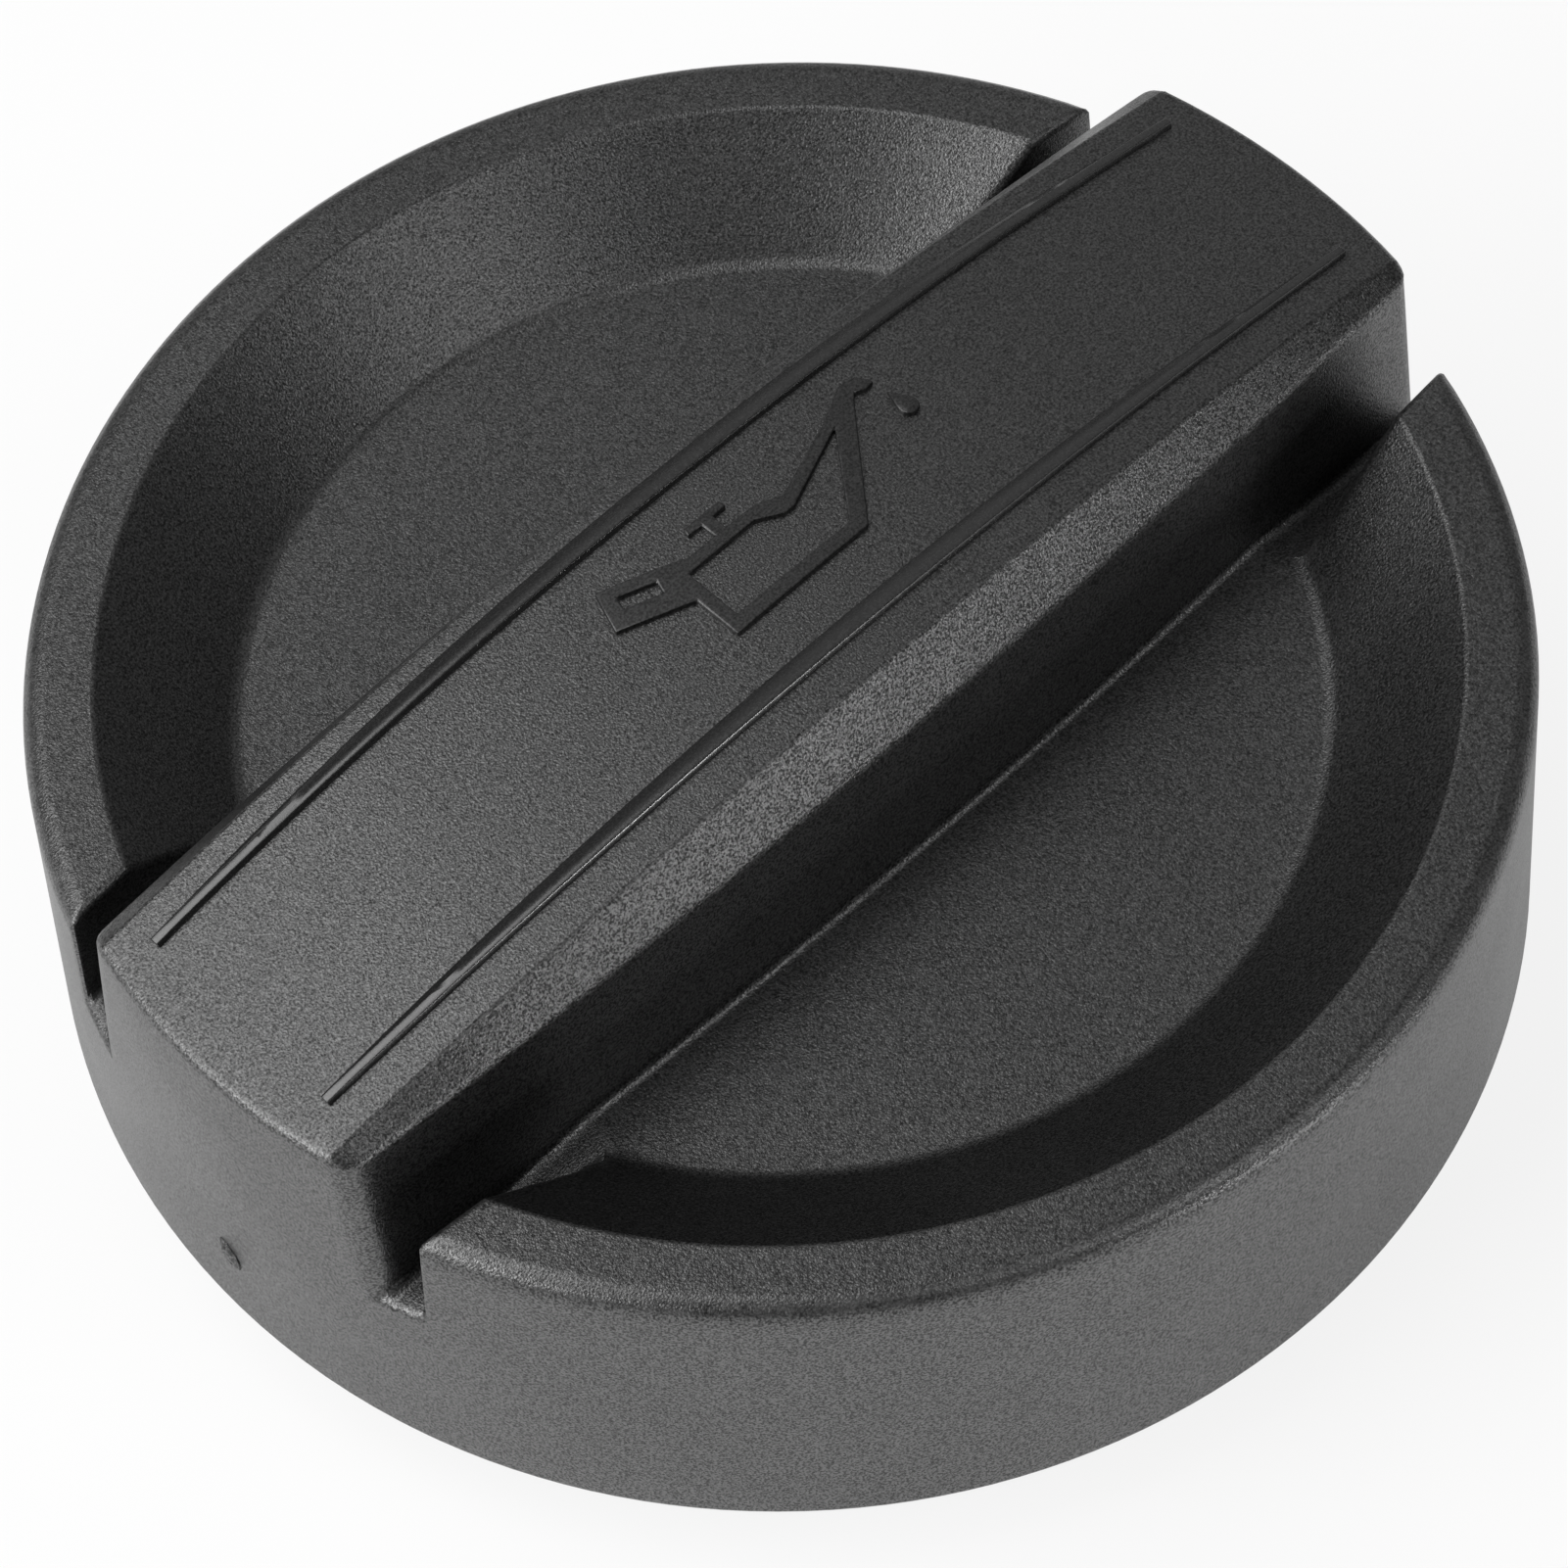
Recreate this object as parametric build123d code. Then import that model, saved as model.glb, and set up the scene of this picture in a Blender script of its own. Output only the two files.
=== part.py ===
"""Oil filler cap of an engine: a moulded cap with a grip bar across it, and the sealing ring under it.

Millimetres, +Z up. The origin is on the cap's axis, in the plane of the neck's lower end.
The grip bar lies along X.
"""
import os
from math import radians, sin, sqrt, tan

from build123d import *

# Neck with bayonet lugs
neck_radius = 17.5
neck_wall = 2.4
neck_length = 12.0
pilot_radius = 17.0
pilot_lead_in = 0.6
lug_reach = 3.0
lug_thickness = 3.0
lug_grip = 3.6
lug_angle = 50.0
lug_ramp = 4.0
lug_lead_in = 0.5

# Sealing ring
seal_thickness = 2.6
seal_width = 4.6
seal_clearance = 0.05
seal_bevel = 0.6

# Rim, and the skirt that flares out below it
rim_radius = 32.1
rim_width = 3.05
rim_edge_radius = 0.5
skirt_height = 16.5
skirt_flare = 0.9
skirt_wall = 2.3
skirt_edge_bevel = 0.3

# Round recess that the fingers reach into
recess_depth = 4.5
recess_wall_run = 5.45
plate_thickness = 2.4

# Grip bar: heights above the rim, half widths and the flanks' inward run, at its middle and at its ends
bar_middle_height = 6.0
bar_end_height = 3.2
bar_shoulder_height = 3.0
bar_middle_foot_half_width = 9.7
bar_end_foot_half_width = 8.45
bar_middle_flank_run = 1.645
bar_end_flank_run = 0.825
bar_draft = 5.9
bar_wall = 2.2
bar_end_edge_radius = 0.4

# Two thin raised lines along the top of the bar, which stop short of its ends
line_end_gap = 2.6
line_middle_offset = 5.45
line_end_offset = 5.13
line_width = 0.45
line_height = 0.3

# Channels that run out through the rim on both sides of the bar, from inside the foot of the recess wall
channel_middle_width = 2.2
channel_end_width = 2.0
channel_setback = 3.6
channel_slope = 8.5
channel_wall = 2.0
channel_floor_thickness = 2.2

# Gussets between the recess and the skirt, on the underside
gusset_thickness = 1.5
gusset_step = 20.0
gussets_per_side = 5

# Levels
seal_z = neck_length
lug_top_z = seal_z - lug_grip
lug_low_z = lug_top_z - lug_thickness
seat_z = seal_z + seal_thickness
floor_z = seat_z + plate_thickness
rim_z = floor_z + recess_depth
skirt_z = rim_z - skirt_height
bar_top_z = rim_z + bar_middle_height

# Radii and lengths that follow from the rim
skirt_radius = rim_radius + skirt_flare
rim_inner_radius = rim_radius - rim_width
recess_floor_radius = rim_inner_radius - recess_wall_run
channel_start = recess_floor_radius - channel_setback
line_half_length = rim_radius - line_end_gap

# How far cutting and joining shapes run past the faces that they meet
overrun = 1.0
bar_reach = skirt_radius + overrun


def skirt_outside(z):
    """Radius of the skirt's outer face at height z."""
    return rim_radius + skirt_flare * (rim_z - z) / skirt_height


def skirt_inside(z):
    """Radius of the skirt's inner face at height z."""
    return skirt_outside(z) - skirt_wall


def turned(points, angle=360.0):
    """Solid of revolution about Z of a closed outline in the XZ plane."""
    return revolve(Plane.XZ * make_face(Polyline(*points, close=True)), Axis.Z, angle)


def along_bar(x, middle, end):
    """A size that runs in a shallow bow along the bar, from its middle to its ends at the rim."""
    return middle + (end - middle) * (x / rim_radius) ** 2


def bowed_strip(middle_half_width, end_half_width, low, high):
    """Upright block along the bar, with both long sides bowed out to their widest at the middle."""
    reach_half_width = along_bar(bar_reach, middle_half_width, end_half_width)
    corners = [(bar_reach, reach_half_width), (-bar_reach, reach_half_width)]
    opposite = [(-x, -y) for x, y in corners]
    side = ThreePointArc(corners[0], (0, middle_half_width), corners[1])
    other_side = ThreePointArc(opposite[0], (0, -middle_half_width), opposite[1])
    plan = make_face([side, Line(corners[1], opposite[0]), other_side, Line(opposite[1], corners[0])])
    return Pos(0, 0, low) * extrude(plan, high - low)


def bar_section(x, base_z, inset, raised):
    """Section of the bar at x: drafted walls up to a level shoulder, sloped flanks, and a flat top."""
    lean = tan(radians(bar_draft))
    foot_half_width = along_bar(x, bar_middle_foot_half_width, bar_end_foot_half_width) - inset
    flank_run = along_bar(x, bar_middle_flank_run, bar_end_flank_run)
    top_half_width = foot_half_width - lean * (recess_depth + bar_shoulder_height) - flank_run
    top_z = rim_z + along_bar(x, bar_middle_height, bar_end_height) - inset + raised
    shoulder_z = rim_z + bar_shoulder_height - inset
    base_half_width = foot_half_width - lean * (base_z - floor_z)
    shoulder_half_width = foot_half_width - lean * (shoulder_z - floor_z)
    half = [(base_half_width, base_z), (shoulder_half_width, shoulder_z), (top_half_width, top_z)]
    outline = half + [(-y, z) for y, z in reversed(half)]
    return Plane.YZ.offset(x) * make_face(Polyline(*outline, close=True))


def bar_form(base_z, inset=0.0, raised=0.0):
    """The bar lofted through its middle and a section past each end, so that its top and sides are bowed."""
    return loft([bar_section(x, base_z, inset, raised) for x in (-bar_reach, 0, bar_reach)])


def channel_floor(x):
    """Height of the channel's floor, which falls outwards from the recess floor."""
    return floor_z - tan(radians(channel_slope)) * (x - channel_start)


def channel_half_widths(extra=0.0):
    """Half width over both channels at the middle and at the ends of the bar."""
    middle = bar_middle_foot_half_width + channel_middle_width + extra
    end = bar_end_foot_half_width + channel_end_width + extra
    return middle, end


def above_channel_floor(drop, start, top_z):
    """Block at both ends of the bar, from a plane parallel to the channel floor up to top_z."""
    corners = [
        (start, channel_floor(start) - drop),
        (bar_reach, channel_floor(bar_reach) - drop),
        (bar_reach, top_z),
        (start, top_z),
    ]
    block = extrude(Plane.XZ * make_face(Polyline(*corners, close=True)), rim_radius, both=True)
    return block + mirror(block, Plane.YZ)


def rim_and_recess():
    """Round stock with the rim and the dished recess, wider than the skirt that it is cut to later."""
    return turned([
        (0, skirt_z),
        (bar_reach, skirt_z),
        (bar_reach, rim_z),
        (rim_inner_radius, rim_z),
        (recess_floor_radius, floor_z),
        (0, floor_z),
    ])


def skirt_envelope():
    """Everything inside the skirt's outer face, carried on up past the top of the bar."""
    bevel_z = skirt_z + skirt_edge_bevel
    high_z = bar_top_z + overrun
    return turned([
        (0, skirt_z),
        (skirt_radius - skirt_edge_bevel, skirt_z),
        (skirt_outside(bevel_z), bevel_z),
        (skirt_outside(high_z), high_z),
        (0, high_z),
    ])


def raised_lines():
    """The two thin lines on the bar's top, bowed and arched as the bar is."""
    high = bar_top_z + line_height + overrun
    half = line_width / 2
    band = bowed_strip(line_middle_offset + half, line_end_offset + half, rim_z, high)
    band -= bowed_strip(line_middle_offset - half, line_end_offset - half, rim_z, high)
    band &= Pos(0, 0, rim_z) * Box(2 * line_half_length, 2 * rim_radius, 2 * (high - rim_z))
    return bar_form(rim_z, raised=line_height) & band


def is_rim_edge(edge):
    """Whether an edge of the skirt's face lies in the plane of the rim."""
    box = edge.bounding_box()
    return box.max.Z - box.min.Z < rim_edge_radius and abs(edge.center().Z - rim_z) < rim_edge_radius


def is_bar_end_edge(edge):
    """Whether an edge of the skirt's face bounds the end of the bar."""
    box = edge.bounding_box()
    return box.min.Z > channel_floor(bar_reach) and box.max.Z > rim_z + bar_end_edge_radius


def outer_form():
    """The cap as seen from above, still solid below: rim, recess, channels and bar, cut to the skirt."""
    channels = above_channel_floor(0, channel_start, bar_top_z)
    channels &= bowed_strip(*channel_half_widths(), skirt_z, bar_top_z)
    bar = bar_form(channel_floor(bar_reach) - overrun)
    body = (rim_and_recess() - channels + bar) & skirt_envelope()
    skirt_face = body.faces().filter_by(GeomType.CONE).sort_by(SortBy.AREA)[-1]
    body = fillet(skirt_face.edges().filter_by(is_bar_end_edge), bar_end_edge_radius)
    skirt_face = body.faces().filter_by(GeomType.CONE).sort_by(SortBy.AREA)[-1]
    body = fillet(skirt_face.edges().filter_by(is_rim_edge), rim_edge_radius)
    return body + raised_lines()


def seat_edge_radius():
    """Outer radius of the level seat, where the underside turns up parallel to the recess wall."""
    length = sqrt(recess_wall_run**2 + recess_depth**2)
    lowest_z = floor_z - plate_thickness * recess_wall_run / length
    at_lowest = recess_floor_radius + plate_thickness * recess_depth / length
    return at_lowest - (lowest_z - seat_z) * recess_wall_run / recess_depth


def underside_hollow():
    """The space under the cap: the ring's level seat, a slope under the recess wall, the skirt's inside."""
    top_z = rim_z - plate_thickness
    low_z = skirt_z - overrun
    return turned([
        (0, low_z),
        (0, seat_z),
        (seat_edge_radius(), seat_z),
        (skirt_inside(top_z), top_z),
        (skirt_inside(low_z), low_z),
    ])


def troughs():
    """What is left under the channels and beside them, outside the ring's seat."""
    block = above_channel_floor(channel_floor_thickness, channel_start, rim_z)
    block &= bowed_strip(*channel_half_widths(channel_wall), skirt_z, rim_z)
    below_seat = turned([
        (0, skirt_z),
        (seat_edge_radius(), skirt_z),
        (seat_edge_radius(), seat_z),
        (0, seat_z),
    ])
    return block - below_seat


def bar_pockets():
    """Hollows in the bar from below: one inside the neck and one at each end, clear of the ring's seat."""
    hollow_bar = bar_form(skirt_z, inset=bar_wall)
    inside_neck = turned([
        (0, skirt_z),
        (neck_radius - neck_wall, skirt_z),
        (neck_radius - neck_wall, bar_top_z),
        (0, bar_top_z),
    ])
    at_ends = turned([
        (seat_edge_radius(), skirt_z),
        (skirt_inside(skirt_z), skirt_z),
        (skirt_inside(bar_top_z), bar_top_z),
        (seat_edge_radius(), bar_top_z),
    ])
    return hollow_bar & (inside_neck + at_ends)


def gussets():
    """Thin upright gussets that tie the recess wall to the skirt, level with the ring's seat."""
    top_z = rim_z - plate_thickness
    corners = [
        (seat_edge_radius() - overrun, seat_z),
        (skirt_inside(seat_z) + overrun, seat_z),
        (skirt_inside(top_z) + overrun, top_z + overrun),
    ]
    one = extrude(Plane.XZ * make_face(Polyline(*corners, close=True)), gusset_thickness / 2, both=True)
    middle = (gussets_per_side - 1) / 2
    angles = [side + (i - middle) * gusset_step for side in (90, 270) for i in range(gussets_per_side)]
    return [Rot(0, 0, angle) * one for angle in angles]


def neck():
    """Tube that enters the filler neck, with a slightly narrower pilot below the lugs and a lead-in."""
    inner = neck_radius - neck_wall
    top_z = seat_z + plate_thickness / 2
    return turned([
        (inner, 0),
        (pilot_radius - pilot_lead_in, 0),
        (pilot_radius, pilot_lead_in),
        (pilot_radius, lug_low_z),
        (neck_radius, lug_low_z),
        (neck_radius, top_z),
        (inner, top_z),
    ])


def lug():
    """One bayonet lug on the +Y side, whose upper face falls towards its leading end."""
    reach = neck_radius + lug_reach
    root = neck_radius - neck_wall / 2
    block = turned([
        (root, lug_low_z),
        (reach - lug_lead_in, lug_low_z),
        (reach, lug_low_z + lug_lead_in),
        (reach, lug_top_z),
        (root, lug_top_z),
    ], lug_angle)
    half_span = reach * sin(radians(lug_angle / 2))
    slab = Box(2 * half_span, 2 * reach, lug_thickness)
    ramp = Pos(0, 0, lug_top_z) * Rot(0, lug_ramp, 0) * Pos(half_span, 0, lug_thickness / 2) * slab
    return Rot(0, 0, 90 - lug_angle / 2) * block - ramp


def cap():
    """The whole moulding: the outer form, hollowed from below, with neck, lugs and gussets."""
    body = outer_form() - (underside_hollow() - troughs()) - bar_pockets()
    body += gussets()
    body += [neck(), lug(), Rot(0, 0, 180) * lug()]
    return body


def seal():
    """Rubber ring round the root of the neck, flat against its seat, with bevelled lower corners."""
    inner = neck_radius + seal_clearance
    outer = inner + seal_width
    return turned([
        (inner, seat_z),
        (inner, seal_z + seal_bevel),
        (inner + seal_bevel, seal_z),
        (outer - seal_bevel, seal_z),
        (outer, seal_z + seal_bevel),
        (outer, seat_z),
    ])


os.makedirs("parts", exist_ok=True)
export_step(cap(), "parts/cap_body.step")
export_step(seal(), "parts/sealing_ring.step")
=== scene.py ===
"""Looks of the oil filler cap: a black moulded cap with a grip bar, photographed on a white surface."""
from math import acos, atan2, cos, pi, radians, sin, sqrt, tan
from random import Random

import bmesh
import bpy
from mathutils import Matrix, Vector


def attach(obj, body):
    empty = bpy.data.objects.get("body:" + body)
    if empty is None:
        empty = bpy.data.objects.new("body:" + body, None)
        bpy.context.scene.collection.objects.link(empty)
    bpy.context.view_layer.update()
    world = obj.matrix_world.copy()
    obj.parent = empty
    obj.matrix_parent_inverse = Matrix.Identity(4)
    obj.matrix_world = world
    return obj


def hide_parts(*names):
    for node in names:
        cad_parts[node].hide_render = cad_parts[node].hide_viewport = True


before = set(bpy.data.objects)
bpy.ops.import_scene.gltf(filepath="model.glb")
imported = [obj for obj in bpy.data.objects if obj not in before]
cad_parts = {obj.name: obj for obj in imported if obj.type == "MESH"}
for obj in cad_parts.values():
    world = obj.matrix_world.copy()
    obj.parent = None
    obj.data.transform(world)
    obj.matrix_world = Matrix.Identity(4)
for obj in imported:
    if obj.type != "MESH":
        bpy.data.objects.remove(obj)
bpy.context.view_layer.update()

MM = 0.001

# Sizes of the moulding in millimetres, as in the CAD model. A pair gives a size in the middle of the bar and
# at its ends.
SKIRT_Z, FLOOR_Z, RIM_Z = 5.0, 17.0, 21.5
SKIRT_R, RIM_R, RIM_INNER_R, FLOOR_R = 33.0, 32.1, 29.05, 23.6
SKIRT_WALL, PLATE = 2.3, 2.4
BAR_TOP = (6.0, 3.2)
BAR_TOP_HALF_WIDTH = (7.28, 6.85)
BAR_FOOT_HALF_WIDTH = (9.7, 8.45)
BAR_WALL = 2.2
SHOULDER_Z = RIM_Z + 3.0
BAR_LEAN = tan(radians(5.9))
CHANNEL_HALF_WIDTH = (11.9, 10.45)
CHANNEL_START = 20.0
CHANNEL_FALL = tan(radians(8.5))
CHANNEL_WALL, CHANNEL_FLOOR = 2.0, 2.2
NECK_R, NECK_WALL, PILOT_R, PILOT_LEAD_IN = 17.5, 2.4, 17.0, 0.6
SEAT_Z, SEAL_Z = 14.6, 12.0
LUG_REACH, LUG_LOW_Z, LUG_TOP_Z, LUG_ANGLE, LUG_RAMP, LUG_LEAD_IN = 3.0, 5.4, 8.4, 50.0, 4.0, 0.5
PILOT_TOP_Z = LUG_LOW_Z - 0.2
GUSSET, GUSSET_STEP, GUSSETS_PER_SIDE = 1.5, 20.0, 5
SEAL_GAP, SEAL_WIDTH, SEAL_ROUND = 0.05, 4.6, 0.6

# How far a solid reaches past a face that it cuts or joins
OVERLAP = 1.0

# Raised lines: place on the bar, and the corners of their section across and up
LINE_OFFSET = (5.45, 5.13)
LINE_HALF_LENGTH = 29.5
LINE_FRONT, LINE_TOP, LINE_BACK = (-0.2, -0.15), ((-0.07, 0.3), (0.31, 0.29)), (0.54, -0.15)
LINE_SPREAD = (0.75, -0.15)
LINE_SHIFT = (0.12, -0.03)

# Oil-can sign on the bar's top, drawn in millimetres along and across the bar
SIGN_HEIGHT, SIGN_ROOT, SIGN_SPAN, SIGN_HALF_WIDTH = 0.24, 0.5, (-12.1, 11.9), 6
CAN = [
    (-3.8, 0.4), (-3.8, -2.0), (3.8, -1.95), (7.9, 3.05), (8.3, 3.45), (8.75, 3.2), (9.3, 3.3), (8.9, 4.05),
    (8.0, 4.15), (6.1, 3.15), (2.4, 1.7), (1.2, 2.2), (-2.6, 2.25), (-3.85, 2.8), (-6.5, 3.75), (-7.2, 1.7),
]
CAN_WINDOW = [
    (-3.1, 1.6), (-3.1, -1.25), (3.35, -1.25), (6.35, 2.65), (2.33, 0.95), (1.8, 0.95), (0.65, 1.6),
]
HANDLE_WINDOW = [(-6.0, 2.9), (-4.3, 2.3), (-4.5, 1.7), (-6.15, 2.3)]
FILLER_KNOB = [
    (-1.05, 2.0), (-0.4, 2.0), (-0.4, 3.0), (0.35, 3.0),
    (0.3, 3.4), (-1.75, 3.4), (-1.85, 3.0), (-1.05, 3.0),
]
DROP_TIP, DROP_CENTRE, DROP_R = (9.3, 2.55), (9.45, 1.38), 0.48

# Stub of the moulding gate, broken off on the skirt under one end of the bar. Its levels give the height as a
# share of how proud it stands, and the size of its outline there.
GATE_Z, GATE_LENGTH, GATE_WIDTH, GATE_LEAN, GATE_PROUD = 9.9, 1.9, 0.95, 35.0, 0.16
GATE_LEVELS = ((-0.4, 1.0), (0.3, 0.95), (1.0, 0.55))
GATE_POINTED, GATE_RAGGED, GATE_UNEVEN, GATE_SEED = 0.3, 0.05, 0.25, 7

# Rounding of each kind of edge, in millimetres
ROUND_TOP, ROUND_SHOULDER, ROUND_FOOT = 0.12, 0.3, 0.4
ROUND_BAR_END, ROUND_BAR_CORNER = 0.4, 0.75
ROUND_RIM, ROUND_RIM_INNER, ROUND_FLOOR, ROUND_MOUTH, ROUND_SKIRT = 0.8, 0.14, 0.4, 0.35, 0.35
LINE_ROUND, SIGN_ROUND = 0.05, 0.09

# Nylon: sizes and depths in millimetres, levels of grey, and ranges of gloss. A noise is given by its detail
# and coarseness.
GRAIN_SIZE, GRAIN_PIT, GRAIN_DEPTH, GRAIN_ROUGHNESS = 0.11, 0.095, 0.022, 0.32
GRAIN_NOISE, PIT_SHARE = (3.0, 0.6), 0.5
NYLON_DARK, NYLON_PALE, SMOOTH_PALE, NYLON_WORN, TORN_PALE = 0.003, 0.022, 0.012, 0.035, 0.16
GRAIN_SPECULAR, SMOOTH_SPECULAR, POLISHED_SPECULAR = (0.35, 1.75), (0.4, 1.1), (0.9, 1.2)
SMOOTH_DEPTH, SMOOTH_ROUGHNESS, POLISHED_ROUGHNESS = 0.003, 0.33, 0.25
PATCH_SIZE, PATCH_NOISE, ROUGHNESS_SPREAD = 9.0, (3.0, 0.5), 0.04
NOISE_RANGE, PALE_RANGE = (0.3, 0.7), (0.42, 0.72)
STEEP_RANGE, STEEP_NOISE_RANGE = (0.1, 0.5), (0.42, 0.58)
WEAR_FROM, WEAR_FULL = 18, 28
WEAR_SIZE, WEAR_NOISE, WEAR_RANGE = 0.7, (4.0, 0.7), (0.35, 0.65)
TORN_SIZE, TORN_NOISE, TORN_DEPTH = 0.25, (4.0, 0.75), 0.12
TORN_RANGE, TORN_ROUGHNESS, TORN_SPECULAR = (0.45, 0.65), (0.35, 0.6), 0.6
DUST_SPACING, DUST_SHARE, DUST_EDGE, DUST_CORE, DUST_PALE = 2.6, 0.05, 0.03, 0.015, 0.22

# Rubber of the ring, in the same measures
TOOTH_SIZE, TOOTH_DEPTH = 0.12, 0.006
RUBBER_ROUGHNESS, RUBBER_SPECULAR, RUBBER_DARK, RUBBER_PALE = (0.62, 0.8), 0.35, 0.010, 0.022
BLOOM_SIZE, BLOOM_NOISE, BLOOM_RANGE = 4.0, (5.0, 0.65), (0.4, 0.7)

# Camera, fitted to the photograph: place and lens in millimetres, turns in degrees
EYE = (-81.2, -94.53, 203.59)
HEADING, ELEVATION, ROLL = 40.59, 57.245, 4.343
LENS, SENSOR = 119.52, 36

# Surroundings: size of the floor in metres, its own colour, and how white it and the room look when they are
# seen and when they are mirrored
FLOOR_SIZE, FLOOR_WHITE, FLOOR_GLOW, FLOOR_SHEEN = 6, 0.9, 0.85, 0.5
ROOM_LIGHT, ROOM_GLOW, ROOM_SHEEN = 0.1, 1.0, 0.035

# Lamps: name, heading clockwise from +Y, height, distance, size in metres, and brightness of the face
LAMPS = [
    ("key_lamp", -35, 62, 0.7, (0.58, 0.56), 3.2),
    ("side_soft_box", -75, 28, 0.8, (0.7, 0.6), 5.2),
    ("front_soft_box", 164, 49, 0.8, (0.36, 0.36), 3.2),
    ("far_soft_box", 48, 40, 0.8, (0.9, 0.9), 0.24),
    ("low_soft_box", 166, 0.5, 0.4, (0.06, 0.02), 80.0),
]

# Divisions of the moulding's surface in one quarter
ARC_STEPS = 36
TOP_STEPS, FLANK_STEPS, WALL_STEPS = 6, 1, 4
CONE_STEPS, RIM_STEPS, MOUTH_STEPS, SKIRT_STEPS = 4, 3, 4, 4
FLOOR_SPLIT = (0.0, 0.3, 0.7, 1.0)

# Divisions of the other forms, and limits of their rounding
TURN_STEPS, TROUGH_STEPS, LUG_STEPS, CORE_STEPS, LINE_POINTS = 192, 12, 24, 32, 61
SIGN_STEPS, DROP_STEPS, GATE_STEPS, SEAL_STEPS = 15, 20, 16, 6
ROUND_SEGMENTS, SOFT_SEGMENTS, SOFT_ANGLE, SMOOTH_ANGLE = 3, 2, 40, 35
SETTLE_STEPS = 40
SAME_POINT_DIGITS, SAME_POINT = 4, 0.001


def add(tree, kind, inputs=None, **settings):
    """New node, with its settings, and with a value or a link for each socket that is named."""
    made = tree.nodes.new(kind)
    for key, value in settings.items():
        setattr(made, key, value)
    for key, value in (inputs or {}).items():
        if isinstance(value, bpy.types.NodeSocket):
            tree.links.new(value, made.inputs[key])
        else:
            made.inputs[key].default_value = value
    return made


def new_material(name, inputs=None):
    """Empty node material with one shader, and the object's own coordinates."""
    material = bpy.data.materials.new(name)
    material.use_nodes = True
    tree = material.node_tree
    tree.nodes.clear()
    shader = add(tree, "ShaderNodeBsdfPrincipled", inputs)
    add(tree, "ShaderNodeOutputMaterial", {"Surface": shader.outputs[0]})
    return material, tree, shader, add(tree, "ShaderNodeTexCoord").outputs["Object"]


def noise(tree, where, size, detail, coarseness):
    """Noise with spots of about a size in millimetres."""
    made = add(tree, "ShaderNodeTexNoise", {
        "Vector": where, "Scale": 1 / (size * MM), "Detail": detail, "Roughness": coarseness,
    })
    return made.outputs["Fac"]


def ramp(tree, value, span, ends=(0.0, 1.0)):
    """A value that goes from one end to the other while another goes through its span."""
    made = add(tree, "ShaderNodeMapRange", {
        "Value": value, "From Min": span[0], "From Max": span[1], "To Min": ends[0], "To Max": ends[1],
    })
    return made.outputs["Result"]


def sums(tree, operation, *values):
    """Result of a sum on values or on the outputs of other nodes."""
    made = add(tree, "ShaderNodeMath", dict(enumerate(values)), operation=operation)
    return made.outputs[0]


def blend_greys(tree, factor, low, high):
    """Grey between two levels; either level may itself be a colour from another node."""
    made = add(tree, "ShaderNodeMix", {0: factor}, data_type="RGBA")
    for place, level in ((6, low), (7, high)):
        if isinstance(level, bpy.types.NodeSocket):
            tree.links.new(level, made.inputs[place])
        else:
            made.inputs[place].default_value = (level, level, level, 1)
    return made.outputs[2]


def dress(tree, shader, height, depth, looks):
    """Gives a shader its relief, to a depth in millimetres, and a link for each socket that is named."""
    bump = add(tree, "ShaderNodeBump", {"Height": height, "Strength": 1.0, "Distance": depth * MM})
    for name, socket in {**looks, "Normal": bump.outputs[0]}.items():
        tree.links.new(socket, shader.inputs[name])


def around(level):
    """Range of roughness about a level."""
    return level - ROUGHNESS_SPREAD, level + ROUGHNESS_SPREAD


def dust(tree, where):
    """Mask of a few small specks, one in some of the cells that the surface is divided into."""
    cells = add(tree, "ShaderNodeTexVoronoi", {"Vector": where, "Scale": 1 / (DUST_SPACING * MM)})
    pick = add(tree, "ShaderNodeSeparateColor", {0: cells.outputs["Color"]}).outputs["Red"]
    chosen = sums(tree, "GREATER_THAN", pick, 1 - DUST_SHARE)
    return sums(tree, "MULTIPLY", chosen, ramp(tree, cells.outputs["Distance"], (DUST_EDGE, DUST_CORE)))


def grained_nylon():
    """Black nylon with the fine grain of a spark-eroded mould, paler where edges have rubbed."""
    material, tree, shader, where = new_material("grained_black_nylon")
    grain = noise(tree, where, GRAIN_SIZE, *GRAIN_NOISE)
    pits = add(tree, "ShaderNodeTexVoronoi", {"Vector": where, "Scale": 1 / (GRAIN_PIT * MM)})
    height = sums(tree, "MULTIPLY_ADD", pits.outputs["Distance"], PIT_SHARE, grain)
    worn = add(tree, "ShaderNodeAttribute", attribute_name="worn_edge").outputs["Fac"]
    broken = ramp(tree, noise(tree, where, WEAR_SIZE, *WEAR_NOISE), WEAR_RANGE)
    shade = blend_greys(tree, ramp(tree, grain, PALE_RANGE), NYLON_DARK, NYLON_PALE)
    shade = blend_greys(tree, sums(tree, "MULTIPLY", worn, broken), shade, NYLON_WORN)
    shade = blend_greys(tree, dust(tree, where), shade, DUST_PALE)
    patches = noise(tree, where, PATCH_SIZE, *PATCH_NOISE)
    # The gloss of the grain varies more on steep faces
    steep = add(tree, "ShaderNodeAttribute", attribute_name="steep_face").outputs["Fac"]
    span = [ramp(tree, steep, STEEP_RANGE, ends) for ends in zip(NOISE_RANGE, STEEP_NOISE_RANGE)]
    dress(tree, shader, height, GRAIN_DEPTH, {
        "Base Color": shade,
        "Specular IOR Level": ramp(tree, grain, span, GRAIN_SPECULAR),
        "Roughness": ramp(tree, patches, NOISE_RANGE, around(GRAIN_ROUGHNESS)),
    })
    return material


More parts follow.
